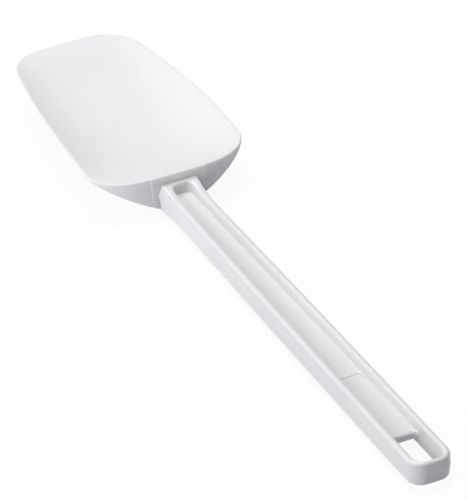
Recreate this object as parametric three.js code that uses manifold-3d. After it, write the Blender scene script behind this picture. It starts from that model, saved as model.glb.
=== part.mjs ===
// A spoon spatula: a stiff moulded handle whose tang is buried in a soft scoop blade.
//
// Millimetres, +Z up. Places along the tool are written as s, from the blade's front edge (0) to
// the hanging end. Heights are written from the handle's parting plane, the flat plane at mid
// height where the two halves of its mould met. The group at the end brings the middle of the
// tool over the origin and the blade's keel down to Z = 0.

import * as THREE from "three";
import { mergeVertices } from "three/addons/utils/BufferGeometryUtils.js";
import Module from "manifold-3d";

const wasm = await Module();
wasm.setup();

// The whole tool
const OVERALL_LENGTH = 343; // blade's front edge to the hanging end
const SOCKET_CLEARANCE = 0.3; // room round the tang inside the blade
const SHOULDER_GAP = 0.1; // handle's shoulder to the blade's rear face

// Blade, in plan
const BLADE_LENGTH = 114;
const BLADE_WIDTH = 75.4;
const FRONT_FLAT = 24; // straight run of the front edge
const FRONT_CORNER_RADIUS = 18;
const SIDE_SHOULDER = 52; // from the front edge to where the side's two end tangents cross
const WIDEST_FROM_REAR = 15;
const REAR_FLAT = 28.4; // straight run of the rear face
const REAR_CORNER_ALONG = 8.5; // pull of the rear corner's curve along the side
const REAR_CORNER_ACROSS = 10; // pull of the rear corner's curve along the rear face
const PAD_WIDTH = 27.2; // flat pad on the rear face, where the mould closed on the handle
const PAD_PROUD = 0.3;

// Blade, heights from the parting plane
const RIM_HEIGHT = 15.1; // side rim, at its highest
const FRONT_HEIGHT = 13.8; // front edge
const REAR_HEIGHT = 12.1; // rear edge
const RIM_RISE_LENGTH = 20; // the rim climbs from the front edge over this length
const RIM_FALL_START = 68; // from here the rim falls to the rear edge
const SCOOP_FLOOR_HEIGHT = 8.2; // lowest point of the scoop's face
const SCOOP_FLOOR_FROM_REAR = 24;
const KEEL_DEPTH = 7.7; // belly's lowest line, below the parting plane at the rear face

// Blade, section shape
const FRONT_THICKNESS = 1.6;
const EDGE_THICKNESS = 1.1; // lip all round
const EDGE_ROUND = 0.45; // rounding of the lip's two edges
const REAR_EDGE_ROUND = 1.2; // rounding of the face's edge over the rear face
const HULL_TUCK = 1.8; // how far the belly's edge draws in, per side, at the rear face
const KEEL_ROUNDING = 8; // half width of the rounded bottom of the V-shaped belly
const FRONT_SECTION_POWER = 4.4; // the face is flat with turned-up sides at the front
const REAR_SECTION_POWER = 2.1; // and an even trough at the rear
const REAR_WALL_POWER = 1.7; // how the face sweeps up to the rear edge
const KEEL_SWEEP = 0.75; // 0: straight keel line, 1: fully S-shaped

// Handle
const HANDLE_WIDTH_ROOT = 15.2; // over the side walls' tops, before the shoulder's flare
const HANDLE_WIDTH_MIDDLE = 18.3;
const HANDLE_WIDTH_END = 19.7;
const HANDLE_HEIGHT = 11.3;
const HANDLE_END_RADIUS = 7; // corners of the hanging end, in plan
const OUTER_ROUND = 1.4; // long outer edges
const SIDE_DRAFT = 0.25; // side walls lean in from the parting plane
const RAIL_WIDTH = 2.85; // walls of the troughs
const RAIL_INNER_ROUND = 1.05;
const END_RAIL_WIDTH = 2.5; // wall at the hanging end
const TROUGH_DEPTH = 4;
const TROUGH_DRAFT = 0.5; // lean of the troughs' walls
const TROUGH_CORNER_RADIUS = 3;
const SHOULDER_WALL = 1.8; // between the shoulder and the troughs
const FLARE_LENGTH = 20; // the shoulder's flare dies out over this length
const FLARE_SIDE = 1.9; // flare at the parting plane, per side
const FLARE_RISE = 1.5; // flare of the top and bottom
const FLARE_LEAN = 0.85; // extra lean of the side walls at the shoulder
const FLARE_EDGE_ROUND = 0.2; // outer edges where they meet the blade

// Hanging hole, and the shallow panel beside it in each trough
const HOLE_LENGTH = 24.3;
const HOLE_CORNER_RADIUS = 2.6;
const PANEL_LENGTH = 46.7;
const PANEL_WIDTH = 10.3;
const PANEL_DEPTH = 0.2;

// Tang
const TANG_LENGTH = 42;
const TANG_WIDTH_ROOT = 14;
const TANG_WIDTH_TIP = 10;
const TANG_THICKNESS_ROOT = 4.2;
const TANG_THICKNESS_TIP = 3;
const TANG_TIP_RISE = 3.4; // the tang slopes up into the middle of the blade
const TANG_TIP_RADIUS = 3.5;
const WINDOW_DIAMETER = 5.5;
const WINDOW_FIRST = 13; // first window, from the shoulder
const WINDOW_PITCH = 14;
const WINDOW_COUNT = 2;

// Facets
const ARC_STEPS = 6;
const SWELL_STEPS = 7;
const CORNER_STEPS = 8;
const OUTLINE_STEPS = 14;
const FACE_COLUMNS = 36;
const OVERCUT = 1; // cutters reach this far past the faces that they open

const WHITE_HANDLE = new THREE.MeshStandardMaterial({ color: 0xe9ebee, roughness: 0.32, metalness: 0 });
const WHITE_BLADE = new THREE.MeshStandardMaterial({ color: 0xf1f2f3, roughness: 0.55, metalness: 0 });

const { lerp, clamp, smoothstep } = THREE.MathUtils;

// Closed solids

// A solid from a closed three.js geometry, with its shared corners merged.
function solidFrom(geometry) {
  const bare = geometry.clone();
  bare.deleteAttribute("normal");
  bare.deleteAttribute("uv");
  const merged = mergeVertices(bare, 1e-5);
  const vertProperties = new Float32Array(merged.attributes.position.array);
  const triVerts = new Uint32Array(merged.index.array);
  return new wasm.Manifold(new wasm.Mesh({ numProp: 3, vertProperties, triVerts }));
}

function meshFrom(solid, name, material) {
  const { vertProperties, triVerts } = solid.getMesh();
  const geometry = new THREE.BufferGeometry();
  geometry.setAttribute("position", new THREE.BufferAttribute(vertProperties, 3));
  geometry.setIndex(new THREE.BufferAttribute(triVerts, 1));
  geometry.computeVertexNormals();
  const mesh = new THREE.Mesh(geometry, material);
  mesh.name = name;
  return mesh;
}

// A closed skin over rows of points. Every row runs from the left side to the right side, and the
// rows go once round the body, so that each row also meets the one after it and the last the first.
function closedSkin(rows) {
  const columns = rows[0].length;
  const index = [];
  const at = (row, column) => (row % rows.length) * columns + column;
  for (let row = 0; row < rows.length; row += 1) {
    for (let column = 0; column + 1 < columns; column += 1) {
      index.push(at(row, column), at(row, column + 1), at(row + 1, column + 1));
      index.push(at(row, column), at(row + 1, column + 1), at(row + 1, column));
    }
  }
  return { index, at };
}

function geometryFrom(points, index) {
  const geometry = new THREE.BufferGeometry();
  geometry.setAttribute("position", new THREE.Float32BufferAttribute(points.flat(), 3));
  geometry.setIndex(index);
  return geometry;
}

// A body with a mirror plane at y = 0, lofted upwards through levels. A level lists the points of
// its right half, from the lowest s to the highest, and every level has as many points.
function loft(levels) {
  const count = levels[0].length;
  const points = [];
  const index = [];
  for (const level of levels) {
    for (const [s, y, z] of level) points.push([s, y, z]);
    for (const [s, y, z] of level) points.push([s, -y, z]);
  }
  const right = (level, i) => level * 2 * count + i;
  const left = (level, i) => right(level, i) + count;
  const quad = (a, b, c, d) => index.push(a, b, c, a, c, d);
  const top = levels.length - 1;
  for (let i = 0; i + 1 < count; i += 1) {
    for (let k = 0; k < top; k += 1) {
      quad(right(k, i + 1), right(k, i), right(k + 1, i), right(k + 1, i + 1));
      quad(left(k, i), left(k, i + 1), left(k + 1, i + 1), left(k + 1, i));
    }
    quad(left(top, i), left(top, i + 1), right(top, i + 1), right(top, i));
    quad(right(0, i), right(0, i + 1), left(0, i + 1), left(0, i));
  }
  for (let k = 0; k < top; k += 1) {
    quad(right(k, 0), left(k, 0), left(k + 1, 0), right(k + 1, 0));
    quad(left(k, count - 1), right(k, count - 1), right(k + 1, count - 1), left(k + 1, count - 1));
  }
  return solidFrom(geometryFrom(points, index));
}

// Right half of a long outline with round corners, drawn in by an inset, as [s, y] points.
function slotOutline({ start, end, half, startRadius = 0, endRadius = 0, stops = [], inset = () => 0 }) {
  const points = [];
  const corner = (centre, radius, side) => {
    for (let i = 0; i <= CORNER_STEPS; i += 1) {
      const turn = (i / CORNER_STEPS) * (Math.PI / 2);
      const angle = side < 0 ? Math.PI - turn : Math.PI / 2 - turn;
      const reach = radius - inset(centre);
      const y = half(centre) - radius + reach * Math.sin(angle);
      points.push([centre + reach * Math.cos(angle), y]);
    }
  };
  if (startRadius > 0) corner(start + startRadius, startRadius, -1);
  else points.push([start, half(start) - inset(start)]);
  for (const s of stops) points.push([s, half(s) - inset(s)]);
  if (endRadius > 0) corner(end - endRadius, endRadius, 1);
  else points.push([end, half(end) - inset(end)]);
  return points;
}

const raised = (outline, height) => outline.map(([s, y]) => [s, y, height(s)]);

// Blade outline in plan

const bladeHalf = BLADE_WIDTH / 2;
const widestAt = BLADE_LENGTH - WIDEST_FROM_REAR;

// Where the side's front tangent touches the front corner's circle.
const frontCentre = new THREE.Vector2(FRONT_CORNER_RADIUS, FRONT_FLAT / 2);
const sideCrossing = new THREE.Vector2(SIDE_SHOULDER, bladeHalf);
const toCrossing = sideCrossing.clone().sub(frontCentre);
const frontCornerEnd = toCrossing.angle() + Math.acos(FRONT_CORNER_RADIUS / toCrossing.length());

const rearCorner = new THREE.CubicBezierCurve(
  new THREE.Vector2(widestAt, bladeHalf),
  new THREE.Vector2(widestAt + REAR_CORNER_ALONG, bladeHalf),
  new THREE.Vector2(BLADE_LENGTH, REAR_FLAT / 2 + REAR_CORNER_ACROSS),
  new THREE.Vector2(BLADE_LENGTH, REAR_FLAT / 2),
);
const frontCorner = new THREE.EllipseCurve(
  frontCentre.x,
  frontCentre.y,
  FRONT_CORNER_RADIUS,
  FRONT_CORNER_RADIUS,
  Math.PI,
  frontCornerEnd,
  true,
);
const side = new THREE.QuadraticBezierCurve(
  frontCorner.getPoint(1),
  sideCrossing,
  rearCorner.getPoint(0),
);
const bladeStations = [
  ...frontCorner.getPoints(OUTLINE_STEPS),
  ...side.getPoints(OUTLINE_STEPS).slice(1),
  ...rearCorner.getPoints(OUTLINE_STEPS).slice(1),
];

// Half width of the belly's edge: the side's own curve, run on to both ends of the blade.
const frontFlare = (bladeHalf - side.v0.y) / (SIDE_SHOULDER - side.v0.x);
function hullHalf(s) {
  if (s < side.v0.x) return side.v0.y - frontFlare * (side.v0.x - s);
  const past = clamp((s - widestAt) / WIDEST_FROM_REAR, 0, 1);
  if (past > 0) return bladeHalf - HULL_TUCK * past ** 2;
  return halfOnSide(s);
}

// The side is a quadratic curve, so the step along it at a given s is a root of s(t) = s.
function halfOnSide(s) {
  const a = side.v0.x - 2 * side.v1.x + side.v2.x;
  const b = 2 * (side.v1.x - side.v0.x);
  const c = side.v0.x - s;
  const t = (2 * c) / (-b - Math.sqrt(Math.max(b * b - 4 * a * c, 0)));
  return side.getPoint(clamp(t, 0, 1)).y;
}

// Blade surfaces

function rimHeight(s) {
  const climb = 1 - clamp(1 - s / RIM_RISE_LENGTH, 0, 1) ** 2;
  const fall = smoothstep(s, RIM_FALL_START, BLADE_LENGTH);
  return lerp(lerp(FRONT_HEIGHT, RIM_HEIGHT, climb), REAR_HEIGHT, fall);
}

const lowestAt = BLADE_LENGTH - SCOOP_FLOOR_FROM_REAR;
function floorHeight(s) {
  if (s <= lowestAt) {
    return lerp(FRONT_HEIGHT, SCOOP_FLOOR_HEIGHT, Math.sin((Math.PI / 2) * (s / lowestAt)));
  }
  const rise = ((s - lowestAt) / SCOOP_FLOOR_FROM_REAR) ** REAR_WALL_POWER;
  return lerp(SCOOP_FLOOR_HEIGHT, REAR_HEIGHT, rise);
}

function keelHeight(s) {
  const t = s / BLADE_LENGTH;
  const drop = lerp(t, smoothstep(t, 0, 1), KEEL_SWEEP);
  return lerp(FRONT_HEIGHT - FRONT_THICKNESS, -KEEL_DEPTH, drop);
}

function faceHeight(s, y) {
  const u = Math.abs(y) / hullHalf(s);
  const power = lerp(FRONT_SECTION_POWER, REAR_SECTION_POWER, s / BLADE_LENGTH);
  return lerp(floorHeight(s), rimHeight(s), u ** power);
}

// The belly is a V with a rounded bottom, measured down from the scoop's face.
function bellyHeight(s, y) {
  const u = Math.abs(y) / hullHalf(s);
  const k = KEEL_ROUNDING / bladeHalf;
  const rise = (Math.hypot(u, k) - k) / (Math.hypot(1, k) - k);
  const core = floorHeight(s) - keelHeight(s);
  return faceHeight(s, y) - lerp(core, EDGE_THICKNESS, rise);
}

// How far a rounded edge falls away at a distance from the outline.
function edgeFall(distance, radius) {
  const inward = radius - clamp(distance, 0, radius);
  return radius - Math.sqrt(radius ** 2 - inward ** 2);
}

const faceEdgeRound = (s) => lerp(EDGE_ROUND, REAR_EDGE_ROUND, smoothstep(s, widestAt, BLADE_LENGTH));

function bladeBody() {
  const faceRows = [];
  const bellyRows = [];
  bladeStations.forEach(({ x: s, y: half }, i) => {
    const before = bladeStations[Math.max(i - 1, 0)];
    const after = bladeStations[Math.min(i + 1, bladeStations.length - 1)];
    const slope = Math.abs(after.x - before.x) / before.distanceTo(after);
    const face = [];
    const belly = [];
    for (let j = 0; j <= FACE_COLUMNS; j += 1) {
      const y = half * Math.sin((Math.PI / 2) * ((2 * j) / FACE_COLUMNS - 1));
      const sideways = (half - Math.abs(y)) * slope;
      const distance = Math.min(s, BLADE_LENGTH - s, sideways);
      face.push([s, y, faceHeight(s, y) - edgeFall(distance, faceEdgeRound(s))]);
      belly.push([s, y, bellyHeight(s, y) + edgeFall(distance, EDGE_ROUND)]);
    }
    faceRows.push(face);
    bellyRows.unshift(belly);
  });
  const rows = [...faceRows, ...bellyRows];
  const { index, at } = closedSkin(rows);
  for (let i = 0; i + 1 < faceRows.length; i += 1) {
    for (const [column, flip] of [[0, false], [FACE_COLUMNS, true]]) {
      const a = at(i, column);
      const b = at(i + 1, column);
      const c = at(rows.length - 2 - i, column);
      const d = at(rows.length - 1 - i, column);
      if (flip) index.push(a, d, c, a, c, b);
      else index.push(a, b, c, a, c, d);
    }
  }
  for (let i = 0; i < index.length; i += 3) [index[i], index[i + 1]] = [index[i + 1], index[i]];
  return solidFrom(geometryFrom(rows.flat(), index));
}

// The pad on the rear face, from the parting plane up to the rounded edge.
function rearPad() {
  const face = BLADE_LENGTH + PAD_PROUD;
  const outline = [
    [BLADE_LENGTH - OVERCUT, PAD_WIDTH / 2],
    [face, PAD_WIDTH / 2],
  ];
  return prism(outline, 0, REAR_HEIGHT - REAR_EDGE_ROUND);
}

// Handle

const shoulderAt = BLADE_LENGTH + PAD_PROUD + SHOULDER_GAP;
const handleRun = OVERALL_LENGTH - shoulderAt;

// The handle swells along its length: an even curve through its three widths.
function wallTopHalf(s) {
  const t = (s - shoulderAt) / handleRun;
  const bow = HANDLE_WIDTH_MIDDLE - (HANDLE_WIDTH_ROOT + HANDLE_WIDTH_END) / 2;
  return (lerp(HANDLE_WIDTH_ROOT, HANDLE_WIDTH_END, t) + 4 * bow * t * (1 - t)) / 2;
}

const flare = (s) => clamp(1 - (s - shoulderAt) / FLARE_LENGTH, 0, 1) ** 2;
const handleTop = (s) => HANDLE_HEIGHT / 2 + FLARE_RISE * flare(s);
const flareStops = [0.12, 0.25, 0.4, 0.55, 0.75, 1].map((share) => shoulderAt + share * FLARE_LENGTH);
const swellStart = shoulderAt + FLARE_LENGTH;
const swellEnd = OVERALL_LENGTH - HANDLE_END_RADIUS;
const swellStops = Array.from(
  { length: SWELL_STEPS },
  (_, i) => lerp(swellStart, swellEnd, (i + 1) / (SWELL_STEPS + 1)),
);

// The two long edges of a half section, from the parting plane up: [inset, height] at each s.
function outerEdge() {
  const lean = (s) => SIDE_DRAFT + FLARE_LEAN * flare(s);
  const fade = (s) => smoothstep(s, shoulderAt, shoulderAt + FLARE_LENGTH);
  const round = (s) => lerp(FLARE_EDGE_ROUND, OUTER_ROUND, fade(s));
  const edge = [{ inset: () => 0, height: () => 0 }];
  for (let i = 0; i <= ARC_STEPS; i += 1) {
    const turn = (i / ARC_STEPS) * (Math.PI / 2);
    edge.push({
      inset: (s) => lean(s) + round(s) * (1 - Math.cos(turn)),
      height: (s) => handleTop(s) - round(s) * (1 - Math.sin(turn)),
    });
  }
  return edge;
}

function handleBody() {
  const half = (s) => wallTopHalf(s) + SIDE_DRAFT + FLARE_SIDE * flare(s);
  const edge = outerEdge();
  const level = ({ inset, height }, sign) => {
    const outline = slotOutline({
      start: shoulderAt,
      end: OVERALL_LENGTH,
      half,
      endRadius: HANDLE_END_RADIUS,
      stops: [...flareStops, ...swellStops],
      inset,
    });
    return raised(outline, (s) => sign * height(s));
  };
  const lower = edge.slice(1).reverse().map((step) => level(step, -1));
  const upper = edge.map((step) => level(step, 1));
  return loft([...lower, ...upper]);
}

const troughStart = shoulderAt + SHOULDER_WALL;
const troughEnd = OVERALL_LENGTH - END_RAIL_WIDTH;
const troughHalf = (s) => wallTopHalf(s) - RAIL_WIDTH;
const troughFloor = HANDLE_HEIGHT / 2 - TROUGH_DEPTH;

// Cutter of one trough: straight drafted walls below, a rounded lip above.
function troughCutter(sign) {
  const levels = [{ inset: TROUGH_DRAFT, height: () => troughFloor }];
  for (let i = 0; i <= ARC_STEPS; i += 1) {
    const turn = (i / ARC_STEPS) * (Math.PI / 2);
    levels.push({
      inset: -RAIL_INNER_ROUND * (1 - Math.cos(turn)),
      height: (s) => handleTop(s) - RAIL_INNER_ROUND * (1 - Math.sin(turn)),
    });
  }
  levels.push({ inset: -RAIL_INNER_ROUND, height: (s) => handleTop(s) + OVERCUT });
  const shells = levels.map(({ inset, height }) => {
    const outline = slotOutline({
      start: troughStart,
      end: troughEnd,
      half: troughHalf,
      startRadius: TROUGH_CORNER_RADIUS,
      endRadius: TROUGH_CORNER_RADIUS,
      stops: [...flareStops.slice(2), ...swellStops],
      inset: () => inset,
    });
    return raised(outline, (s) => sign * height(s));
  });
  return loft(sign > 0 ? shells : shells.reverse());
}

// An upright prism through the parting plane, over an outline's right half.
function prism(outline, low, high) {
  return loft([raised(outline, () => low), raised(outline, () => high)]);
}

const holeStart = troughEnd - HOLE_LENGTH;

function hangingHole() {
  const outline = slotOutline({
    start: holeStart,
    end: troughEnd - TROUGH_DRAFT,
    half: (s) => troughHalf(s) - TROUGH_DRAFT,
    startRadius: HOLE_CORNER_RADIUS,
    endRadius: TROUGH_CORNER_RADIUS - TROUGH_DRAFT,
  });
  return prism(outline, -HANDLE_HEIGHT, HANDLE_HEIGHT);
}

// The shallow sunk panel in a trough's floor, from a square front end to the hanging hole.
function panelCutter(sign) {
  const outline = slotOutline({
    start: holeStart - PANEL_LENGTH,
    end: holeStart + HOLE_CORNER_RADIUS,
    half: () => PANEL_WIDTH / 2,
  });
  const bottom = sign * (troughFloor - PANEL_DEPTH);
  const top = sign * (troughFloor + OVERCUT);
  return prism(outline, Math.min(bottom, top), Math.max(bottom, top));
}

// Tang

const tangTip = shoulderAt - TANG_LENGTH;
const tangShare = (s) => (shoulderAt - s) / TANG_LENGTH;
const tangRise = (s) => TANG_TIP_RISE * tangShare(s);
const tangHalf = (s) => lerp(TANG_WIDTH_ROOT, TANG_WIDTH_TIP, tangShare(s)) / 2;
const tangThickness = (s) => lerp(TANG_THICKNESS_ROOT, TANG_THICKNESS_TIP, tangShare(s));
const windowPlaces = Array.from(
  { length: WINDOW_COUNT },
  (_, i) => shoulderAt - WINDOW_FIRST - i * WINDOW_PITCH,
);

function windowCutter(place, diameter) {
  const height = 2 * (TANG_TIP_RISE + TANG_THICKNESS_ROOT);
  const cylinder = new THREE.CylinderGeometry(diameter / 2, diameter / 2, height, 4 * CORNER_STEPS);
  cylinder.rotateX(Math.PI / 2);
  cylinder.translate(place, 0, tangRise(place));
  return solidFrom(cylinder);
}

// The tang with its windows, or with a clearance the socket that takes it.
function tangBody(clearance, end) {
  const outline = slotOutline({
    start: tangTip - clearance,
    end,
    half: (s) => tangHalf(s) + clearance,
    startRadius: TANG_TIP_RADIUS + clearance,
  });
  const faceOf = (sign) => (s) => tangRise(s) + sign * (tangThickness(s) / 2 + clearance);
  let tang = loft([raised(outline, faceOf(-1)), raised(outline, faceOf(1))]);
  for (const place of windowPlaces) {
    tang = tang.subtract(windowCutter(place, WINDOW_DIAMETER - 2 * clearance));
  }
  return tang;
}

// The two pieces

function handleSolid() {
  let solid = handleBody();
  for (const sign of [1, -1]) {
    solid = solid.subtract(troughCutter(sign)).subtract(panelCutter(sign));
  }
  solid = solid.subtract(hangingHole());
  return solid.add(tangBody(0, shoulderAt + SHOULDER_WALL / 2));
}

function bladeSolid() {
  return bladeBody().add(rearPad()).subtract(tangBody(SOCKET_CLEARANCE, shoulderAt + OVERCUT));
}

const spatula = new THREE.Group();
spatula.position.set(-OVERALL_LENGTH / 2, 0, KEEL_DEPTH);
spatula.add(meshFrom(handleSolid(), "handle", WHITE_HANDLE));
spatula.add(meshFrom(bladeSolid(), "blade", WHITE_BLADE));

export default spatula;
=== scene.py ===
# %% [markdown]
# A spoon spatula, rebuilt piece by piece. The real one is two mouldings: a stiff handle with a
# trough in each face, and a soft scoop blade moulded over the handle's tang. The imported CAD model
# gives the frame, in metres, and each CAD node is replaced here by a finer piece in the same place.
# Sizes below are in millimetres: s runs along the tool from the blade's front edge (0) to the
# hanging end, y runs across it, and z is the height over the table.

# %% Load the frame
import math

import bmesh
import bpy
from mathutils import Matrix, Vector


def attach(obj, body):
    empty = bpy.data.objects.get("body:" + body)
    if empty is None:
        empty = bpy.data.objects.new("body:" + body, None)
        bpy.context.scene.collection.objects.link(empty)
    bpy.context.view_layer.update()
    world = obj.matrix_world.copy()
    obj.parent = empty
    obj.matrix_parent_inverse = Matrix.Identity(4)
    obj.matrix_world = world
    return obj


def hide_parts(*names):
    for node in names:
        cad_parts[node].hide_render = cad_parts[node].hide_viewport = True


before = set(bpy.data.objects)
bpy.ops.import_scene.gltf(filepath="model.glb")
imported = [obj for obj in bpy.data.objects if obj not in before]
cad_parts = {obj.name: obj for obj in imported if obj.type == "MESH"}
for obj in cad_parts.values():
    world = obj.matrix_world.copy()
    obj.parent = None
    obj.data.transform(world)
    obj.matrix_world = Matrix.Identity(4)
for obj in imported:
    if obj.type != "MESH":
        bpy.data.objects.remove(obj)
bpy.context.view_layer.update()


# %% [markdown]
# A few helpers come first. Blender works in metres from the middle of the tool, while the tool is
# measured in millimetres from its front edge, so `place` and `tool` turn one into the other. The
# other three blend values: `lerp` runs evenly from one to another, `clamp` keeps a value within its
# limits, and `smoothstep` rises from 0 to 1 with soft ends.

# %% Places and blends
OVERALL_LENGTH = 343
MM = 0.001


def place(s, y, z):
    """A point of the tool, in the frame's metres."""
    return Vector(((s - OVERALL_LENGTH / 2) * MM, y * MM, z * MM))


def tool(point):
    """The reverse: a frame point as (s, y, z) in millimetres."""
    return Vector((point.x / MM + OVERALL_LENGTH / 2, point.y / MM, point.z / MM))


def lerp(a, b, t):
    return a + (b - a) * t


def clamp(value, low=0.0, high=1.0):
    return max(low, min(high, value))


def smoothstep(value, low, high):
    t = clamp((value - low) / (high - low))
    return t * t * (3 - 2 * t)


print("hanging end, m from the middle:", round(place(OVERALL_LENGTH, 0, 0).x, 4))

# %% [markdown]
# Edit-mode operators act on what is selected, so every step needs a way to say "the edges of the
# rim" or "the faces of the floor". By hand that is a click or a box select. In a script the same
# choice is made by place and direction, so `pick` tests each vertex, edge or face in millimetres
# and selects those that pass. New edges come from bisect, which cuts along a plane and needs no
# window.

# %% Selection and cuts
HAIR = 0.02  # places this close count as one
SLACK = 0.1  # room left where places are told apart


def middle_of(element):
    """Middle of a vertex, edge or face, in tool millimetres."""
    corners = [element] if isinstance(element, bmesh.types.BMVert) else element.verts
    return tool(sum((v.co for v in corners), Vector()) / len(corners))


def pick(kind, test):
    """Select, in edit mode, the verts, edges or faces whose (element, middle) passes the test."""
    bpy.ops.mesh.select_mode(type={"verts": "VERT", "edges": "EDGE", "faces": "FACE"}[kind])
    bpy.ops.mesh.select_all(action="DESELECT")
    mesh = bpy.context.edit_object.data
    shape = bmesh.from_edit_mesh(mesh)
    shape.normal_update()
    chosen = [e for e in getattr(shape, kind) if test(e, middle_of(e))]
    for element in chosen:
        element.select_set(True)
    shape.select_flush_mode()
    bmesh.update_edit_mesh(mesh)
    return len(chosen)


def near(a, b, room=HAIR):
    return abs(a - b) < room


def level(face):
    """Whether a face lies within about 25 degrees of level."""
    return abs(face.normal.z) > 0.9


def upright(face):
    """Whether a face stands within 30 degrees of upright."""
    return abs(face.normal.z) < 0.5


def cut(through, direction, snap=0.1):
    """Cut the selected faces along a plane through a tool point, at vertices where some are near."""
    bpy.ops.mesh.bisect(plane_co=place(*through), plane_no=direction, threshold=snap * MM)


def apply_modifier(kind, **settings):
    """Add a modifier to the active object and apply it."""
    piece = bpy.context.object
    modifier = piece.modifiers.new(kind.title(), kind)
    for name, value in settings.items():
        setattr(modifier, name, value)
    bpy.ops.object.modifier_apply(modifier=modifier.name)


bpy.ops.object.select_all(action="DESELECT")
print("objects still selected:", len(bpy.context.selected_objects))

# %% [markdown]
# The handle is an I-section: two rails with a web between them, so a trough runs along each face.
# Its two mould halves met on a flat parting plane at mid height. Both halves are nearly alike, so
# only the upper one is modelled, with the parting plane at z = 0, and a mirror makes the lower one.
# The plan comes first: a plane primitive, cut across at a few stations, and every station resized
# to the handle's own width there. The handle swells a little towards the hanging end.

# %% Handle: the plan
SHOULDER = 114.4  # where the handle meets the blade
HANDLE_RUN = OVERALL_LENGTH - SHOULDER
WIDTH_ROOT, WIDTH_MIDDLE, WIDTH_END = 15.2, 18.3, 19.7
SIDE_DRAFT = 0.25
END_RADIUS = 7
SWELL_SHARES = (0.2, 0.32, 0.44, 0.56, 0.68, 0.8, 0.9)
SWELL_STATIONS = [SHOULDER + HANDLE_RUN * share for share in SWELL_SHARES]


def wall_half(s):
    """Half width over the tops of the side walls."""
    t = (s - SHOULDER) / HANDLE_RUN
    bow = WIDTH_MIDDLE - (WIDTH_ROOT + WIDTH_END) / 2
    return (lerp(WIDTH_ROOT, WIDTH_END, t) + 4 * bow * t * (1 - t)) / 2


bpy.ops.mesh.primitive_plane_add(size=1, location=(0, 0, 0))
handle = bpy.context.object
handle.name = handle.data.name = "handle_moulding"
bpy.ops.object.mode_set(mode="EDIT")
bpy.ops.transform.resize(value=(HANDLE_RUN * MM, WIDTH_ROOT * MM, 1))
bpy.ops.transform.translate(value=place((SHOULDER + OVERALL_LENGTH) / 2, 0, 0))
for s in SWELL_STATIONS:
    bpy.ops.mesh.select_all(action="SELECT")
    cut((s, 0, 0), (1, 0, 0))
for s in [SHOULDER, *SWELL_STATIONS, OVERALL_LENGTH]:
    pick("verts", lambda v, m: near(m.x, s))
    share = (wall_half(s) + SIDE_DRAFT) / (WIDTH_ROOT / 2)
    bpy.ops.transform.resize(value=(1, share, 1), center_override=place(s, 0, 0))
pick("verts", lambda v, m: near(m.x, OVERALL_LENGTH))
bpy.ops.mesh.bevel(offset=END_RADIUS * MM, segments=10, profile=0.5, affect="VERTICES")
print("handle plan:", len(bmesh.from_edit_mesh(handle.data).verts), "vertices")

# %% [markdown]
# Now the plan is raised to the top of the rails and drawn in a little, because a moulding's walls
# lean so that it can leave its mould. An even inset marks the rails all round. The faces that the
# extrusion left on the parting plane are deleted, because the mirror closes the shape there.

# %% Handle: the rails
HALF_HEIGHT = 5.65
RAIL_WIDTH = 2.85


def lift(height):
    bpy.ops.mesh.extrude_region_move(TRANSFORM_OT_translate={"value": (0, 0, height * MM)})


def outside(s, y):
    """Whether a place lies on the outer half of a rail."""
    return abs(y) > wall_half(s) - RAIL_WIDTH / 2


bpy.ops.mesh.select_mode(type="FACE")
bpy.ops.mesh.select_all(action="SELECT")
lift(HALF_HEIGHT)
lean = 1 - SIDE_DRAFT / (WIDTH_MIDDLE / 2 + SIDE_DRAFT)
drawn_in = 1 - SIDE_DRAFT / HANDLE_RUN
bpy.ops.transform.resize(value=(drawn_in, lean, 1), center_override=place(SHOULDER, 0, 0))
bpy.ops.mesh.inset(thickness=RAIL_WIDTH * MM, depth=0)
print("parting plane:", pick("faces", lambda f, m: near(m.z, 0) and level(f)), "faces deleted")
bpy.ops.mesh.delete(type="FACE")

# %% [markdown]
# The inset is even all round, but the walls at the trough's two ends are thinner, so those ends of
# the inset move first. A second, narrow inset then goes down as it goes in, and makes the trough
# with leaning walls. By hand this is the usual run of insets. A bevel of its two front corners, the
# only upright edges there, gives them their radius.

# %% Handle: the trough
SHOULDER_WALL = 2.1
END_RAIL_WIDTH = 2.5
TROUGH_DEPTH = 4
TROUGH_DRAFT = 0.5
TROUGH_CORNER_RADIUS = 2.7
TROUGH_START = SHOULDER + SHOULDER_WALL
TROUGH_END = OVERALL_LENGTH - END_RAIL_WIDTH
FLOOR_HEIGHT = HALF_HEIGHT - TROUGH_DEPTH

inner_front = SHOULDER + RAIL_WIDTH
inner_rear = OVERALL_LENGTH - SIDE_DRAFT - RAIL_WIDTH
arc_start = OVERALL_LENGTH - END_RADIUS


def on_inset(middle):
    return not outside(middle.x, middle.y) and middle.x < inner_rear + SLACK


def in_trough(face, middle):
    on_top = near(middle.z, HALF_HEIGHT) and near(middle.y, 0)
    return on_top and TROUGH_START < middle.x < TROUGH_END


def at_front_corner(edge, middle):
    height = abs(edge.verts[0].co.z - edge.verts[1].co.z) / MM
    return near(middle.x, TROUGH_START, room=TROUGH_DRAFT + SLACK) and height > TROUGH_DEPTH / 2


pick("verts", lambda v, m: on_inset(m) and near(m.x, inner_front, room=SLACK))
bpy.ops.transform.translate(value=(-(RAIL_WIDTH - SHOULDER_WALL) * MM, 0, 0))
pick("verts", lambda v, m: on_inset(m) and m.x > arc_start)
stretch = (TROUGH_END - arc_start) / (inner_rear - arc_start)
bpy.ops.transform.resize(value=(stretch, 1, 1), center_override=place(arc_start, 0, 0))
pick("faces", in_trough)
bpy.ops.mesh.inset(thickness=TROUGH_DRAFT * MM, depth=-TROUGH_DEPTH * MM)
print("trough:", pick("edges", at_front_corner), "front corners")
bpy.ops.mesh.bevel(offset=TROUGH_CORNER_RADIUS * MM, segments=7, profile=0.5)

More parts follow.
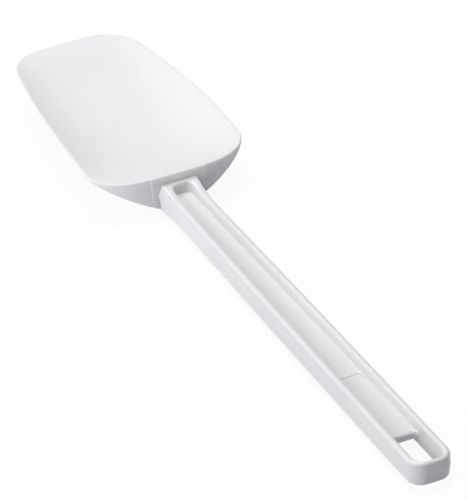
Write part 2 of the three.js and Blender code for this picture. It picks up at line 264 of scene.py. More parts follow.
# %% [markdown]
# Close to the blade the handle flares: its section turns from rounded rails into a plain hexagon
# with crisp edges, so that the soft blade has a clean face to seal against. By hand this is
# proportional editing with a sharp falloff. Here the mesh is cut at a few stations and each vertex
# moves by the same falloff, a square that dies out over the flare. One more cut along the outer
# walls marks the hexagon's widest line, which is drawn out after the mirror.

# %% Handle: the flared shoulder
FLARE_LENGTH = 20
FLARE_STATIONS = [SHOULDER + FLARE_LENGTH * share for share in (0.3, 0.45, 0.6, 0.8, 1)]
FLARE_SIDE = 1.9  # outwards, on the parting plane
FLARE_RISE = 1.5  # upwards, at the top
FLARE_LEAN = 0.85  # extra lean of the wall
FLARE_CORNER = 2.6  # height of the widest line


def flare(s):
    return clamp(1 - (s - SHOULDER) / FLARE_LENGTH) ** 2


def on_flare_wall(face, middle):
    return upright(face) and outside(middle.x, middle.y) and middle.x < SHOULDER + FLARE_LENGTH


for s in FLARE_STATIONS:
    bpy.ops.mesh.select_all(action="SELECT")
    cut((s, 0, 0), (1, 0, 0))
pick("faces", on_flare_wall)
cut((SHOULDER, 0, FLARE_CORNER), (0, 0, 1))
for vertex in bmesh.from_edit_mesh(handle.data).verts:
    s, y, z = tool(vertex.co)
    if outside(s, y):
        lean_in = FLARE_LEAN * z / HALF_HEIGHT
        vertex.co.y += math.copysign(flare(s), y) * MM * (FLARE_SIDE - lean_in)
    if near(z, HALF_HEIGHT):
        vertex.co.z += FLARE_RISE * flare(s) * MM
bmesh.update_edit_mesh(handle.data)
print("shoulder:", round(2 * (wall_half(SHOULDER) + SIDE_DRAFT + FLARE_SIDE), 1), "mm wide")

# %% [markdown]
# The hanging hole is as wide as the trough, and the web ends in front of it with two round corners.
# The trough's floor is made one flat face, cut across at the flare's stations again, and once more
# where the web's corners end, and the part behind is deleted. The straight edge that is left gets
# extra vertices, which move forward into the rounded line.

# %% Handle: the web's end
HOLE_START = 316.4
HOLE_CORNER_RADIUS = 2.6
WEB_REACH = HOLE_START + HOLE_CORNER_RADIUS
CORNER_STEPS = 8


def on_floor(element, middle):
    return near(middle.z, FLOOR_HEIGHT) and level(element)


def at_web_end(point):
    return near(point.x, WEB_REACH) and near(point.z, FLOOR_HEIGHT)


pick("faces", on_floor)
bpy.ops.mesh.dissolve_faces()
for s in [*FLARE_STATIONS, WEB_REACH]:
    pick("faces", on_floor)
    cut((s, 0, FLOOR_HEIGHT), (1, 0, 0))
pick("faces", lambda f, m: on_floor(f, m) and m.x > WEB_REACH)
bpy.ops.mesh.delete(type="FACE")
pick("edges", lambda e, m: at_web_end(m) and near(m.y, 0))
bpy.ops.mesh.subdivide(number_cuts=2 * CORNER_STEPS)
web_edge = [v for v in bmesh.from_edit_mesh(handle.data).verts if at_web_end(tool(v.co))]
web_edge.sort(key=lambda v: v.co.y)
web_half = tool(web_edge[-1].co).y
for side, row in ((-1, web_edge), (1, web_edge[::-1])):
    for step in range(1, CORNER_STEPS + 1):
        turn = math.pi / 2 * step / CORNER_STEPS
        y = web_half - HOLE_CORNER_RADIUS * (1 - math.cos(turn))
        s = WEB_REACH - HOLE_CORNER_RADIUS * math.sin(turn)
        row[step].co = place(s, side * y, FLOOR_HEIGHT)
bmesh.update_edit_mesh(handle.data)
print("web's end:", len(web_edge), "vertices on its line")

# %% [markdown]
# Round the hole the open edges at floor height now go down to the parting plane. The walls behind
# the web keep their lean, so their feet are drawn in by the trough's own draft. The web's upper
# edge is rounded over with a bevel. Its lower edge is crisp, and is put right after the mirror.

# %% Handle: the hanging hole
WEB_ROUND = 1.5


def at_hole_foot(vertex, middle):
    behind_web = WEB_REACH + SLACK < middle.x < TROUGH_END
    return near(middle.z, 0) and behind_web and abs(middle.y) < web_half + SLACK


def on_web_rim(edge, middle):
    """The web's upper edge has the floor on one side and the hole's wall on the other."""
    if middle.x > WEB_REACH or not near(middle.z, FLOOR_HEIGHT):
        return False
    foot = min(tool(v.co).z for f in edge.link_faces for v in f.verts)
    return foot < SLACK and any(level(f) for f in edge.link_faces)


pick("edges", lambda e, m: len(e.link_faces) == 1 and near(m.z, FLOOR_HEIGHT))
lift(-FLOOR_HEIGHT)
pick("verts", at_hole_foot)
lean_on = TROUGH_DRAFT * FLOOR_HEIGHT / TROUGH_DEPTH
shares = (1 - lean_on / (TROUGH_END - WEB_REACH), 1 - lean_on / web_half, 1)
bpy.ops.transform.resize(value=shares, center_override=place(WEB_REACH, 0, 0))
pick("edges", on_web_rim)
bpy.ops.mesh.bevel(offset=WEB_ROUND * MM, segments=5, profile=0.5)
print("hanging hole:", round(2 * web_half, 1), "mm wide at the web")

# %% [markdown]
# In front of the hole the floor is sunk by a fifth of a millimetre, the trace of a separate insert
# in the mould. Two cuts close together give the step: what lies inside the inner cut drops, and
# the narrow strip between the cuts becomes the step's wall. Across the trough the insert left a
# fine groove, deeper on the left, so there a row between the two cuts drops further.

# %% Handle: the sunk panel
PANEL_START = 269.5
PANEL_HALF = 5.15
PANEL_DEPTH = 0.2
STEP_WIDTH = 0.08
GROOVE_WIDTH = 0.2
GROOVE_LEFT, GROOVE_RIGHT = 0.42, 0.2  # its depth at both ends
FINE_SNAP = 0.001  # so that cuts this close together stay apart
groove_middle = PANEL_START + GROOVE_WIDTH / 2


def in_panel(middle, start):
    inside = abs(middle.y) < PANEL_HALF - STEP_WIDTH + HAIR and near(middle.z, FLOOR_HEIGHT)
    return inside and middle.x > start - HAIR


for s in (PANEL_START, groove_middle, PANEL_START + GROOVE_WIDTH):
    pick("faces", on_floor)
    cut((s, 0, FLOOR_HEIGHT), (1, 0, 0), snap=FINE_SNAP)
for y in (PANEL_HALF, PANEL_HALF - STEP_WIDTH, STEP_WIDTH - PANEL_HALF, -PANEL_HALF):
    pick("faces", lambda f, m: on_floor(f, m) and m.x > PANEL_START)
    cut((PANEL_START, y, FLOOR_HEIGHT), (0, 1, 0), snap=FINE_SNAP)
for side, depth in ((-1, GROOVE_LEFT), (1, GROOVE_RIGHT)):
    pick("verts", lambda v, m: in_panel(m, groove_middle) and near(m.x, groove_middle) and m.y * side > 0)
    bpy.ops.transform.translate(value=(0, 0, -depth * MM))
print("panel:", pick("verts", lambda v, m: in_panel(m, PANEL_START + GROOVE_WIDTH)), "vertices sunk")
bpy.ops.transform.translate(value=(0, 0, -PANEL_DEPTH * MM))

# %% [markdown]
# Where the two mould halves met, a hair of plastic stands out all round the walls: the parting
# line. A cut just over the parting plane leaves a narrow strip, and the strip's foot moves out.
# The hanging end is drawn in first, so that the line keeps to the overall length.

# %% Handle: the parting line
RIDGE_HEIGHT = 0.12
RIDGE_OUT = 0.09

pick("verts", lambda v, m: m.x > arc_start - SLACK)
bpy.ops.transform.translate(value=(-RIDGE_OUT * MM, 0, 0))
bpy.ops.mesh.select_all(action="SELECT")
cut((SHOULDER, 0, RIDGE_HEIGHT), (0, 0, 1))
shape = bmesh.from_edit_mesh(handle.data)
shape.normal_update()
ridge = 0
for vertex in shape.verts:
    s, y, z = tool(vertex.co)
    on_wall = outside(s, y) or s > TROUGH_END + SLACK
    if near(z, 0) and on_wall and s > SHOULDER + SLACK:
        vertex.co += RIDGE_OUT * MM * Vector((vertex.normal.x, vertex.normal.y, 0)).normalized()
        ridge += 1
bmesh.update_edit_mesh(handle.data)
print("parting line:", ridge, "vertices moved out")

# %% [markdown]
# The rails are round on both sides, and the trough's floor meets its walls in a small fillet. One
# bevel rounds them all, with each edge's bevel weight as its share of the widest radius. In the
# flare the outer weight fades, so the long rounding runs out into the shoulder's crisp edges.

# %% Handle: rounded edges
OUTER_ROUND = 1.4
SHOULDER_ROUND = 0.2
INNER_ROUND = 1.05
FLOOR_FILLET = 0.25


def outer_round(s):
    """The rails' outer rounding, which runs out towards the shoulder."""
    return lerp(SHOULDER_ROUND, OUTER_ROUND, smoothstep(s, SHOULDER, SHOULDER + FLARE_LENGTH))


def edge_round(edge):
    """The radius that this edge of the upper half gets: where one level face meets one wall."""
    tops = [f for f in edge.link_faces if level(f)]
    walls = [f for f in edge.link_faces if upright(f)]
    s, y, z = middle_of(edge)
    if len(tops) != 1 or len(walls) != 1 or s < SHOULDER + SLACK:
        return 0
    wall_heights = [tool(v.co).z for v in walls[0].verts]
    if z > HALF_HEIGHT - SLACK:
        outer_wall = min(wall_heights) < FLOOR_HEIGHT - PANEL_DEPTH - SLACK or outside(s, y)
        return outer_round(s) if outer_wall else INNER_ROUND
    full_wall = max(wall_heights) > HALF_HEIGHT - SLACK
    return FLOOR_FILLET if near(z, FLOOR_HEIGHT) and full_wall else 0


shape = bmesh.from_edit_mesh(handle.data)
shape.normal_update()
weight = shape.edges.layers.float.new("bevel_weight_edge")
rounded = 0
for edge in shape.edges:
    edge[weight] = edge_round(edge) / OUTER_ROUND
    rounded += edge[weight] > 0
bmesh.update_edit_mesh(handle.data)
bpy.ops.object.mode_set(mode="OBJECT")
apply_modifier(
    "BEVEL", width=OUTER_ROUND * MM, segments=8, limit_method="WEIGHT", use_clamp_overlap=False,
    offset_type="OFFSET", miter_outer="MITER_SHARP",
)
print("handle:", rounded, "edges rounded,", len(handle.data.polygons), "faces")

# %% [markdown]
# The mirror on the parting plane makes the lower half. The two halves differ in a few small things,
# which are given to the finished mesh. On the upper half the shoulder's widest line stands out, its
# top swells a little more, and the trough's floor rises towards it. On the lower half the shoulder
# is flatter, and the web's edge at the hole goes back from the mirrored rounding to the upright
# wall, which makes it crisp.

# %% Handle: the mirrored half
CORNER_OUT = 0.9  # how far the shoulder's widest line stands out
TOP_SWELL = 0.1  # share by which the upper half rises further
FLOOR_RISE = 1.3  # of the trough's floor
UNDER_RISE = 0.2  # share by which the lower half stays flatter
RAIL_ROOM = 0.3  # what the web's edge keeps from the rails


def on_trough_floor(s, y, z):
    at_floor = FLOOR_HEIGHT - SLACK < z < FLOOR_HEIGHT + FLOOR_FILLET + HAIR
    return at_floor and not outside(s, y)


def on_lower_round(s, y, z):
    across_web = abs(y) < web_half - RAIL_ROOM and -FLOOR_HEIGHT - HAIR < z < -RIDGE_HEIGHT
    return across_web and HOLE_START - WEB_ROUND - SLACK < s < WEB_REACH


def to_hole_wall(s, y, z):
    """The same height on the upright wall of the hole, which is an arc near the rails."""
    side = abs(y) - (web_half - HOLE_CORNER_RADIUS)
    if side <= 0:
        return place(HOLE_START, y, z)
    away = HOLE_CORNER_RADIUS * Vector((s - WEB_REACH, side)).normalized()
    return place(WEB_REACH + away.x, math.copysign(abs(y) - side + away.y, y), z)


apply_modifier("MIRROR", use_axis=(False, False, True), merge_threshold=0.002 * MM)
for vertex in handle.data.vertices:
    s, y, z = tool(vertex.co)
    if near(z, FLARE_CORNER) and outside(s, y):
        vertex.co.y += math.copysign(CORNER_OUT * flare(s), y) * MM
    if z > 0:
        vertex.co.z *= 1 + TOP_SWELL * flare(s)
        if on_trough_floor(s, y, z):
            vertex.co.z += FLOOR_RISE * flare(s) * MM
    elif on_lower_round(s, y, z):
        vertex.co = to_hole_wall(s, y, z)
    else:
        vertex.co.z *= 1 - UNDER_RISE * flare(s)
print("handle:", len(handle.data.polygons), "faces with its mirrored half")

# %% [markdown]
# The handle now moves up to its height over the table, and the move is applied, so that the object
# itself stays at the origin. A mirror can turn faces inside out, so the normals are made consistent.
# Smooth shading by angle keeps the step and the shoulder crisp. Weighted normals let the wide flat
# faces win over the narrow rounded ones, so that flats stay flat.

# %% Handle: height and shading
PARTING_HEIGHT = 7.7  # over the table
HANDLE_CREASE = 32  # degrees, past which an edge stays sharp

handle.location.z = PARTING_HEIGHT * MM
bpy.ops.object.transform_apply(location=True)
bpy.ops.object.mode_set(mode="EDIT")
bpy.ops.mesh.select_all(action="SELECT")
bpy.ops.mesh.normals_make_consistent(inside=False)
bpy.ops.object.mode_set(mode="OBJECT")
bpy.ops.object.shade_smooth_by_angle(angle=math.radians(HANDLE_CREASE))
apply_modifier("WEIGHTED_NORMAL", keep_sharp=True)
heights = [tool(v.co).z for v in handle.data.vertices]
print("handle, mm over the table:", round(min(heights), 1), "to", round(max(heights), 1))

# %% [markdown]
# The blade is one soft moulding. Its plan is a short straight front edge, a round corner on each
# side, long bowed sides and a flat rear face. Three curves draw the right half of that outline:
# an arc, then a quadratic and a cubic Bezier curve, each meeting the next without a kink.

# %% Blade: the outline
BLADE_LENGTH = 114
BLADE_HALF = 37.7
FRONT_HALF_FLAT = 12
FRONT_CORNER_RADIUS = 18
WIDEST_AT = 99
REAR_HALF_FLAT = 14.2
SIDE_CROSSING = Vector((52, BLADE_HALF))  # where the side curve's end tangents cross
REAR_CORNER_S, REAR_CORNER_Y = 107.5, 24.2  # how far the rear corner's end tangents reach
CORNER_ROWS, SIDE_ROWS, REAR_ROWS = 22, 44, 26
SIDE_END_ROW = CORNER_ROWS + SIDE_ROWS
ROWS = SIDE_END_ROW + REAR_ROWS


def bezier(points, t):
    while len(points) > 1:
        points = [a.lerp(b, t) for a, b in zip(points, points[1:])]
    return points[0]


corner_centre = Vector((FRONT_CORNER_RADIUS, FRONT_HALF_FLAT))
to_crossing = SIDE_CROSSING - corner_centre
tangent_turn = math.acos(FRONT_CORNER_RADIUS / to_crossing.length)
corner_end = math.atan2(to_crossing.y, to_crossing.x) + tangent_turn


def on_corner(t):
    angle = lerp(math.pi, corner_end, t)
    return corner_centre + FRONT_CORNER_RADIUS * Vector((math.cos(angle), math.sin(angle)))


widest = Vector((WIDEST_AT, BLADE_HALF))
rear_end = Vector((BLADE_LENGTH, REAR_HALF_FLAT))
SIDE_CURVE = [on_corner(1), SIDE_CROSSING, widest]
REAR_PULLS = [Vector((REAR_CORNER_S, BLADE_HALF)), Vector((BLADE_LENGTH, REAR_CORNER_Y))]
REAR_CURVE = [widest, *REAR_PULLS, rear_end]


def outline(row):
    """Point (s, half width) of the outline at a row, which may lie between two whole rows."""
    if row <= CORNER_ROWS:
        return on_corner(row / CORNER_ROWS)
    if row <= SIDE_END_ROW:
        return bezier(SIDE_CURVE, (row - CORNER_ROWS) / SIDE_ROWS)
    return bezier(REAR_CURVE, (row - SIDE_END_ROW) / REAR_ROWS)


for row in (0, CORNER_ROWS, SIDE_END_ROW, ROWS):
    print("blade outline at row", row, [round(c, 1) for c in outline(row)])

# %% [markdown]
# Seen from the side, the scoop's face dips behind the front edge and sweeps up again to the rear
# edge, and its sides turn up into a rim. The belly below is a keel with a rounded bottom that runs
# from the thin front edge down to the deep rear face. Each is a height over the parting plane at a
# place (s, y), so that face and belly keep the right thickness everywhere.

# %% Blade: the face
RIM, FRONT, REAR, FLOOR = 15.1, 13.8, 12.1, 8.2
LOWEST_AT = 90
FRONT_CLIMB = 20  # the rim climbs from the front edge over this length
RIM_FALL_START = 68
REAR_SWEEP = 1.7  # power of the floor's sweep up to the rear edge
DISH_FRONT, DISH_REAR = 4.4, 2.1  # powers of the section: flat with a sharp rim, then rounder
HULL_TUCK = 1.8  # how far the section's half width draws in behind the widest place


def hull_half(s):
    """Half width that the section's shape is measured on: the side curve, run on to both ends."""
    start, crossing, end = SIDE_CURVE
    if s < start.x:
        return start.y - (crossing.y - start.y) / (crossing.x - start.x) * (start.x - s)
    if s > WIDEST_AT:
        return BLADE_HALF - HULL_TUCK * ((s - WIDEST_AT) / (BLADE_LENGTH - WIDEST_AT)) ** 2
    a, b, c = start.x - 2 * crossing.x + end.x, 2 * (crossing.x - start.x), start.x - s
    return bezier(SIDE_CURVE, clamp(2 * c / (-b - math.sqrt(max(b * b - 4 * a * c, 0))))).y


def rim_height(s):
    climb = 1 - clamp(1 - s / FRONT_CLIMB) ** 2
    return lerp(lerp(FRONT, RIM, climb), REAR, smoothstep(s, RIM_FALL_START, BLADE_LENGTH))


def floor_height(s):
    if s <= LOWEST_AT:
        return lerp(FRONT, FLOOR, math.sin(math.pi / 2 * s / LOWEST_AT))
    return lerp(FLOOR, REAR, ((s - LOWEST_AT) / (BLADE_LENGTH - LOWEST_AT)) ** REAR_SWEEP)


def face_height(s, y):
    power = lerp(DISH_FRONT, DISH_REAR, s / BLADE_LENGTH)
    return lerp(floor_height(s), rim_height(s), (abs(y) / hull_half(s)) ** power)


for s in (0, LOWEST_AT, BLADE_LENGTH):
    print("face at the middle, mm:", s, round(face_height(s, 0), 1))

# %% [markdown]
# The belly is measured down from the face. In the middle it is as deep as the keel, and at the rim
# only the edge's thickness is left. Between them the thickness follows a hyperbola: straight like
# the sides of a V, and rounded at the keel.

# %% Blade: the belly
KEEL_DEPTH = PARTING_HEIGHT
KEEL_EASE = 0.75  # how far the keel's fall eases in and out, 0 for a straight line
KEEL_HALF = 8  # half width over which the keel is round
KEEL_ROUNDING = KEEL_HALF / BLADE_HALF
FRONT_THICKNESS, EDGE_THICKNESS = 1.6, 1.1


def belly_height(s, y):
    t = s / BLADE_LENGTH
    keel = lerp(FRONT - FRONT_THICKNESS, -KEEL_DEPTH, lerp(t, smoothstep(t, 0, 1), KEEL_EASE))
    rise = math.hypot(abs(y) / hull_half(s), KEEL_ROUNDING) - KEEL_ROUNDING
    rise /= math.hypot(1, KEEL_ROUNDING) - KEEL_ROUNDING
    return face_height(s, y) - lerp(floor_height(s) - keel, EDGE_THICKNESS, rise)


for s in (0, LOWEST_AT, BLADE_LENGTH):
    print("keel, mm:", s, round(belly_height(s, 0), 1))

# %% [markdown]
# The blade could be a low cage under a Subdivision Surface, but its edges are thin and its curves
# have to match the solid, so a fine grid is laid on the curves instead. A grid primitive is
# extruded once, which gives two skins and the wall between them. The lower skin takes the belly's
# heights and the upper one the face's. Rows and columns crowd together at the edge, where the
# skins fall away in a quarter round.

# %% Blade: the grid
COLUMNS = 76
EDGE_ROUND, REAR_EDGE_ROUND = 0.45, 0.75


def edge_fall(distance, radius):
    """How far a skin has fallen at a distance from the edge."""
    inward = radius - clamp(distance, 0, radius)
    return radius - math.sqrt(radius * radius - inward * inward)


bpy.ops.mesh.primitive_grid_add(x_subdivisions=ROWS, y_subdivisions=COLUMNS, size=2)
blade = bpy.context.object
blade.name = blade.data.name = "scoop_blade"
bpy.ops.object.mode_set(mode="EDIT")
bpy.ops.mesh.select_all(action="SELECT")
bpy.ops.mesh.extrude_region_move(TRANSFORM_OT_translate={"value": (0, 0, 1)})
for vertex in bmesh.from_edit_mesh(blade.data).verts:
    row = clamp((vertex.co.x + 1) / 2 * ROWS, 0, ROWS)
    s, half = outline(row)
    along = outline(min(row + 0.5, ROWS)) - outline(max(row - 0.5, 0))
    y = half * math.sin(math.pi / 2 * clamp(vertex.co.y, -1, 1))
    sideways = (half - abs(y)) * abs(along.x) / along.length
    distance = min(s, BLADE_LENGTH - s, sideways)
    upper_skin = vertex.co.z > 0.5
    if upper_skin:
        radius = lerp(EDGE_ROUND, REAR_EDGE_ROUND, smoothstep(s, WIDEST_AT, BLADE_LENGTH))
        height = face_height(s, y) - edge_fall(distance, radius)
    else:
        height = belly_height(s, y) + edge_fall(distance, EDGE_ROUND)
    vertex.co = place(s, y, height + PARTING_HEIGHT)
bpy.ops.mesh.select_all(action="SELECT")
bpy.ops.mesh.remove_doubles(threshold=0.001 * MM)
bpy.ops.mesh.normals_make_consistent(inside=False)
print("blade:", len(bmesh.from_edit_mesh(blade.data).faces), "faces")

# %% [markdown]
# Round the handle the rear face carries a flat pad, a fraction of a millimetre proud, where the
# blade's mould closed on the handle. Its foot lies just over the parting plane, and it widens a
# little upwards. A knife could draw it by hand. Here planes cut the rear face along the pad's
# outline, and the faces inside are extruded backwards.

# %% Blade: the pad
PAD_FOOT = 8.4  # over the table
PAD_FOOT_HALF = 12.8
PAD_DRAFT = 0.07  # how fast the pad widens upwards
PAD_PROUD = 0.38
REAR_BAND = 6  # the rear face lies within this of the blade's end


def on_rear(face, middle):
    """A face near the blade's end that looks backwards."""
    return face.normal.x > 0.4 and middle.x > BLADE_LENGTH - REAR_BAND


def pad_half(height):
    return PAD_FOOT_HALF + PAD_DRAFT * (height - PAD_FOOT)


def on_pad(face, middle):
    return on_rear(face, middle) and abs(middle.y) < pad_half(middle.z) and middle.z > PAD_FOOT


def cut_at_y(y, where=on_rear, draft=0.0):
    pick("faces", where)
    cut((BLADE_LENGTH, y, PAD_FOOT), (0, 1, -math.copysign(draft, y)))


def cut_at_height(height, where=on_rear):
    pick("faces", where)
    cut((BLADE_LENGTH, 0, height), (0, 0, 1))


def push_back(distance):
    bpy.ops.mesh.extrude_region_move(TRANSFORM_OT_translate={"value": (distance * MM, 0, 0)})


cut_at_height(PAD_FOOT)
for side in (-1, 1):
    cut_at_y(side * PAD_FOOT_HALF, draft=PAD_DRAFT)
print("pad:", pick("faces", on_pad), "faces")
push_back(PAD_PROUD)

# %% [markdown]
# A thin lip of flash stands along the pad's edge and draws the fine lines beside the handle. Narrow
# strips are cut along the pad's sides and its foot and extruded once more. The side lips die out
# upwards, so each is tipped forwards about its foot. The lip at the foot, left of the handle, is a
# slope: its upper edge goes back almost to the pad, because a square ledge would draw a dark line.

# %% Blade: the lip of flash
LIP_LEFT, LIP_RIGHT, LIP_FOOT = 0.19, 0.16, 0.45  # over the pad
LIP_FOOT_TOP = 0.02  # what is left of the foot's lip at its upper edge
LIP_WIDTH = 0.35
LIP_RUN = 12  # the side lips die out upwards over this height
LIP_END = 10.4  # where the lip at the foot stops, beside the handle


def in_side_lip(face, middle, side):
    at_side = middle.y * side > pad_half(middle.z) - LIP_WIDTH
    return on_pad(face, middle) and at_side and middle.z > PAD_FOOT + LIP_WIDTH


def in_foot_lip(face, middle):
    at_foot = middle.z < PAD_FOOT + LIP_WIDTH
    return on_pad(face, middle) and at_foot and middle.y < -LIP_END


def at_foot_lip_top(vertex, middle):
    on_lip = near(middle.x, BLADE_LENGTH + PAD_PROUD + LIP_FOOT, room=0.05) and middle.y < 0
    return on_lip and middle.z > PAD_FOOT + LIP_WIDTH / 2


cut_at_height(PAD_FOOT + LIP_WIDTH, where=on_pad)
for side in (-1, 1):
    cut_at_y(side * (PAD_FOOT_HALF - LIP_WIDTH), where=on_pad, draft=PAD_DRAFT)
    cut_at_y(side * LIP_END, where=on_pad)
for side, proud in ((-1, LIP_LEFT), (1, LIP_RIGHT)):
    print("side lip:", pick("faces", lambda f, m: in_side_lip(f, m, side)), "faces")
    push_back(proud)
    foot = place(BLADE_LENGTH + PAD_PROUD + proud, 0, PAD_FOOT)
    bpy.ops.transform.rotate(value=proud / LIP_RUN, orient_axis="Y", center_override=foot)
print("foot lip:", pick("faces", in_foot_lip), "faces")
push_back(LIP_FOOT)
pick("verts", at_foot_lip_top)
bpy.ops.transform.translate(value=((LIP_FOOT_TOP - LIP_FOOT) * MM, 0, 0))

# %% [markdown]
# The small mark right of the pad is where the melt entered the mould. A square is cut out of the
# rear face, extruded, drawn together and moved down, so that its long upper side catches the light.
# Then the whole blade is shaded smooth, with the pad's edges and the mark left sharp.

# %% Blade: the gate mark and shading
GATE_Y, GATE_HEIGHT, GATE_SIZE = 19.9, 11.9, 1.8
GATE_PROUD = 0.9
GATE_TAPER = (1, 0.6, 0.4)  # its end's share of the square, across and upwards
GATE_DROP = 0.4
BLADE_CREASE = 40  # degrees, past which an edge stays sharp


def in_gate(face, middle):
    away = max(abs(middle.y - GATE_Y), abs(middle.z - GATE_HEIGHT))
    return on_rear(face, middle) and away < GATE_SIZE / 2


for half in (-GATE_SIZE / 2, GATE_SIZE / 2):
    cut_at_y(GATE_Y + half)
    cut_at_height(GATE_HEIGHT + half)
print("gate mark:", pick("faces", in_gate), "faces")
push_back(GATE_PROUD)
bpy.ops.transform.resize(value=GATE_TAPER)
bpy.ops.transform.translate(value=(0, 0, -GATE_DROP * MM))
bpy.ops.object.mode_set(mode="OBJECT")
bpy.ops.object.shade_smooth_by_angle(angle=math.radians(BLADE_CREASE))
print("blade with its pad:", len(blade.data.polygons), "faces")

# %% [markdown]
# Shader maths reads best as plain expressions, so one small class wraps a socket and adds a Math
# node for each operator, and its `node` method adds any other node. Patterns read Object
# coordinates, in metres, so a noise scale of 1000 has features of about a millimetre.

# %% The socket class
class Socket:
    """An output socket in a material. Arithmetic on it adds Math nodes to the material."""

    def __init__(self, tree, output):
        self.tree = tree
        self.output = output

    def node(self, kind, settings=None, output=0, **inputs):
        """Add a node. An input is named, with _ for a space, or numbered as i0, i1 and so on."""
        made = self.tree.nodes.new(kind)
        for name, value in (settings or {}).items():
            setattr(made, name, value)
        for name, value in inputs.items():
            key = int(name[1:]) if name[0] == "i" and name[1:].isdigit() else name.replace("_", " ")
            if isinstance(value, Socket):
                self.tree.links.new(value.output, made.inputs[key])
            else:
                made.inputs[key].default_value = value
        return Socket(self.tree, made.outputs[output]) if made.outputs else made

    def math(self, operation, a, b):
        return self.node("ShaderNodeMath", {"operation": operation}, i0=a, i1=b)

    def __add__(self, other):
        return self.math("ADD", self, other)

    def __radd__(self, other):
        return self.math("ADD", other, self)

    def __sub__(self, other):
        return self.math("SUBTRACT", self, other)

    def __rsub__(self, other):
        return self.math("SUBTRACT", other, self)

    def __mul__(self, other):
        return self.math("MULTIPLY", self, other)

    def __rmul__(self, other):
        return self.math("MULTIPLY", other, self)

    def above(self, limit):
        return self.math("GREATER_THAN", self, limit)

    def noise(self, scale, detail=2.0):
        return self.node("ShaderNodeTexNoise", Vector=self, Scale=scale, Detail=detail)

    def mix(self, low, high):
        """A colour between two, with this value as the factor."""
        return self.node("ShaderNodeMix", {"data_type": "RGBA"}, output=2, i0=self, i6=low, i7=high)


# %% [markdown]
# Every material starts the same way: a Principled shader, and the Object coordinates that its
# patterns read. `wire` then links the finished values to the shader's own sockets, by name.

# %% A new material
def object_coordinates(tree):
    return Socket(tree, tree.nodes.new("ShaderNodeTexCoord").outputs["Object"])


def new_material(name):
    """A material, its Principled shader and its Object coordinates."""
    material = bpy.data.materials.new(name)
    material.use_nodes = True
    tree = material.node_tree
    return material, tree.nodes["Principled BSDF"], object_coordinates(tree)


def wire(shader, **sources):
    for name, source in sources.items():
        source.tree.links.new(source.output, shader.inputs[name.replace("_", " ")])


print("materials before the new ones:", len(bpy.data.materials))

# %% [markdown]
# The handle is a white moulded plastic with a satin gloss. Real mouldings are never one even tone:
# the colour drifts a little, the gloss changes in long streaks where the melt flowed along the
# mould, and the skin has a very fine ripple. One stretched noise gives the streaks to both the
# colour and the roughness, because on the real skin they go together.

# %% Handle plastic
PLASTIC_SHADE, PLASTIC_LIGHT = (0.801, 0.80, 0.81, 1), (0.846, 0.845, 0.852, 1)

plastic, shader, position = new_material("white_plastic")
drift = position.noise(scale=45)
stretched = position.node("ShaderNodeMapping", Vector=position, Scale=(0.06, 1, 1))
streaks = stretched.noise(scale=420, detail=3)
skin = position.noise(scale=2600)
tone = drift * 0.7 + streaks * 0.3
ripple = position.node("ShaderNodeBump", Strength=0.05, Distance=0.0002, Height=skin)
wire(
    shader,
    Base_Color=tone.mix(PLASTIC_SHADE, PLASTIC_LIGHT),
    Roughness=streaks * 0.04 + skin * 0.03 + 0.13,
    Normal=ripple,
)
handle.data.materials.append(plastic)
print("handle plastic:", len(plastic.node_tree.nodes), "nodes")

# %% [markdown]
# The blade is a softer white rubber with a matte, finely mottled skin and a few faint specks. Three
# noises at different scales make the mottle, and a fourth, cut off high, leaves only the specks.
# Rubber lets a little light in, which softens the shade on its thin edges, so an even share of
# subsurface scattering is set on the shader itself.

# %% Blade rubber
RUBBER_SHADE, RUBBER_LIGHT = (0.834, 0.834, 0.837, 1), (0.889, 0.889, 0.89, 1)
LIGHT_REACH = 0.005  # metres that light travels inside the rubber

rubber, shader, position = new_material("white_rubber")
drift = position.noise(scale=55)
mottle = position.noise(scale=700, detail=4)
grain = position.noise(scale=2200, detail=3)
specks = position.noise(scale=260, detail=0).above(0.8)
tone = drift * 0.45 + mottle * 0.4 + grain * 0.15 - specks * 0.25
texture = position.node("ShaderNodeBump", Strength=0.12, Distance=0.0003, Height=grain)
wire(
    shader,
    Base_Color=tone.mix(RUBBER_SHADE, RUBBER_LIGHT),
    Roughness=mottle * 0.15 + grain * 0.1 + 0.45,
    Normal=texture,
)
shader.inputs["Subsurface Weight"].default_value = 0.5
shader.inputs["Subsurface Radius"].default_value = (1, 1, 1)
shader.inputs["Subsurface Scale"].default_value = LIGHT_REACH
blade.data.materials.append(rubber)
print("blade rubber:", len(rubber.node_tree.nodes), "nodes")

# %% [markdown]
# Each piece is tied to the frame: it rides on the row's one body, and stands for its CAD node,
# which is hidden.

# %% Tie the pieces to the frame
for piece, node, slot in ((handle, "handle", "handle_plastic"), (blade, "blade", "blade_rubber")):
    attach(piece, "root")
    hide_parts(node)
    print(piece.name, "stands for", node)

# %% [markdown]
# The floor is a plain pale plane that the keel rests on. To the camera and to reflections most of
# it is a plain white glow, so that the ground reads as white paper. To all other light it is matte
# paint, which takes the object's soft shadow and sends some light back up. The paint is lighter
# under the blade and to the left, and darker under the handle and to the right. This is painted
# light and painted shade on the floor, which stand in for the uneven light that the photograph's
# table sent back up.

# %% Floor
FLOOR_SIZE = 6  # metres
# PAINT_LIGHT and PAINT_DARK are the two ends of the painted light and painted shade in the floor's paint
PAINT_LIGHT, PAINT_DARK = (0.7, 0.69, 0.73, 1), (0.45, 0.44, 0.48, 1)
FADE_ALONG, FADE_ACROSS = 12, 6  # gain of the dark paint's share, per metre
FADE_MIDDLE = 0.55  # its share at the middle of the tool
PAPER_GLOW = 0.92
WHITE = (1, 1, 1, 1)

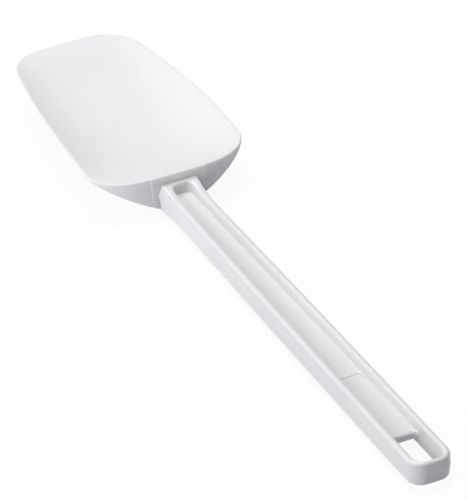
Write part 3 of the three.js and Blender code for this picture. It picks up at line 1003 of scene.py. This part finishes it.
bpy.ops.mesh.primitive_plane_add(size=FLOOR_SIZE, location=(0, 0, 0))
floor = bpy.context.object
floor.name = "floor"
paper = bpy.data.materials.new("white_paper")
paper.use_nodes = True
tree = paper.node_tree
tree.nodes.clear()
rays = tree.nodes.new("ShaderNodeLightPath").outputs
shown = Socket(tree, rays["Is Camera Ray"]) + Socket(tree, rays["Is Glossy Ray"])
shown = shown + Socket(tree, rays["Is Transmission Ray"])
position = object_coordinates(tree)
along = position.node("ShaderNodeSeparateXYZ", Vector=position)
across = position.node("ShaderNodeSeparateXYZ", output=1, Vector=position)
# painted light and shade: the paint grows lighter towards the blade and the left, darker towards the
# hanging end and the right
paint_with_painted_light = (along * FADE_ALONG + across * FADE_ACROSS + FADE_MIDDLE).mix(PAINT_LIGHT, PAINT_DARK)
paint = position.node("ShaderNodeBsdfDiffuse", Color=shown.mix(paint_with_painted_light, WHITE))
glow = position.node("ShaderNodeEmission", Color=WHITE, Strength=1.0)
surface = position.node("ShaderNodeMixShader", i0=shown * PAPER_GLOW, i1=paint, i2=glow)
position.node("ShaderNodeOutputMaterial", Surface=surface)
floor.data.materials.append(paper)
print("floor:", len(tree.nodes), "nodes in its paper")

# %% [markdown]
# The light in the photograph is that of a white table under soft lamps. A large one stands low on
# the left and lights the handle's long side, and a weak one stands nearer to the hanging end. A
# small key lamp higher on the left draws the edge of the trough's shadow and the glints. One hangs
# high behind the blade, so the faces turned to the hanging end are the darkest, and a weak one fills
# from the right.

# %% Light
LAMP_DISTANCE = 2  # metres


def lamp(name, towards, power, size):
    """A square area lamp out along a direction, aimed at the object."""
    data = bpy.data.lights.new(name, "AREA")
    data.energy = power
    data.size = size
    light = bpy.data.objects.new(name, data)
    light.location = LAMP_DISTANCE * Vector(towards).normalized()
    light.rotation_euler = (-light.location).to_track_quat("-Z", "Y").to_euler()
    bpy.context.collection.objects.link(light)


lamp("left", towards=(0.04, -0.97, 0.26), power=13.8, size=1.2)
lamp("front", towards=(0.67, -0.7, 0.25), power=2.8, size=1.0)
lamp("key", towards=(0.06, -0.79, 0.61), power=6.5, size=0.35)
lamp("behind", towards=(-0.32, 0, 0.95), power=23, size=1.0)
lamp("right", towards=(0, 0.5, 0.87), power=3.5, size=0.8)

world = bpy.data.worlds.new("studio")
bpy.context.scene.world = world
world.use_nodes = True
background = world.node_tree.nodes["Background"]
background.inputs["Color"].default_value = (0.95, 0.93, 1, 1)
background.inputs["Strength"].default_value = 0.2
print("lamps:", [light.name for light in bpy.data.lights])

# %% [markdown]
# The camera stands where the photograph was taken from: far off, with a long lens, over the left of
# the hanging end. Its place was fitted to the handle's straight edges and the blade's outline. The
# Standard view transform shows colours as they are written.

# %% Camera
CAMERA_PLACE = (1819.83, -958.17, 1434.58)
CAMERA_AIM = (-1.26, -2.27, 13.35)

camera_data = bpy.data.cameras.new("camera")
camera_data.sensor_width = 36
camera_data.lens = 419.3
camera_data.clip_end = 20
camera = bpy.data.objects.new("camera", camera_data)
camera.location = Vector(CAMERA_PLACE) * MM
aim = Vector(CAMERA_AIM) * MM
camera.rotation_euler = (aim - camera.location).to_track_quat("-Z", "Y").to_euler()
bpy.context.collection.objects.link(camera)
bpy.context.scene.camera = camera
bpy.context.scene.view_settings.view_transform = "Standard"
print("camera, m from its aim:", round((aim - camera.location).length, 2))
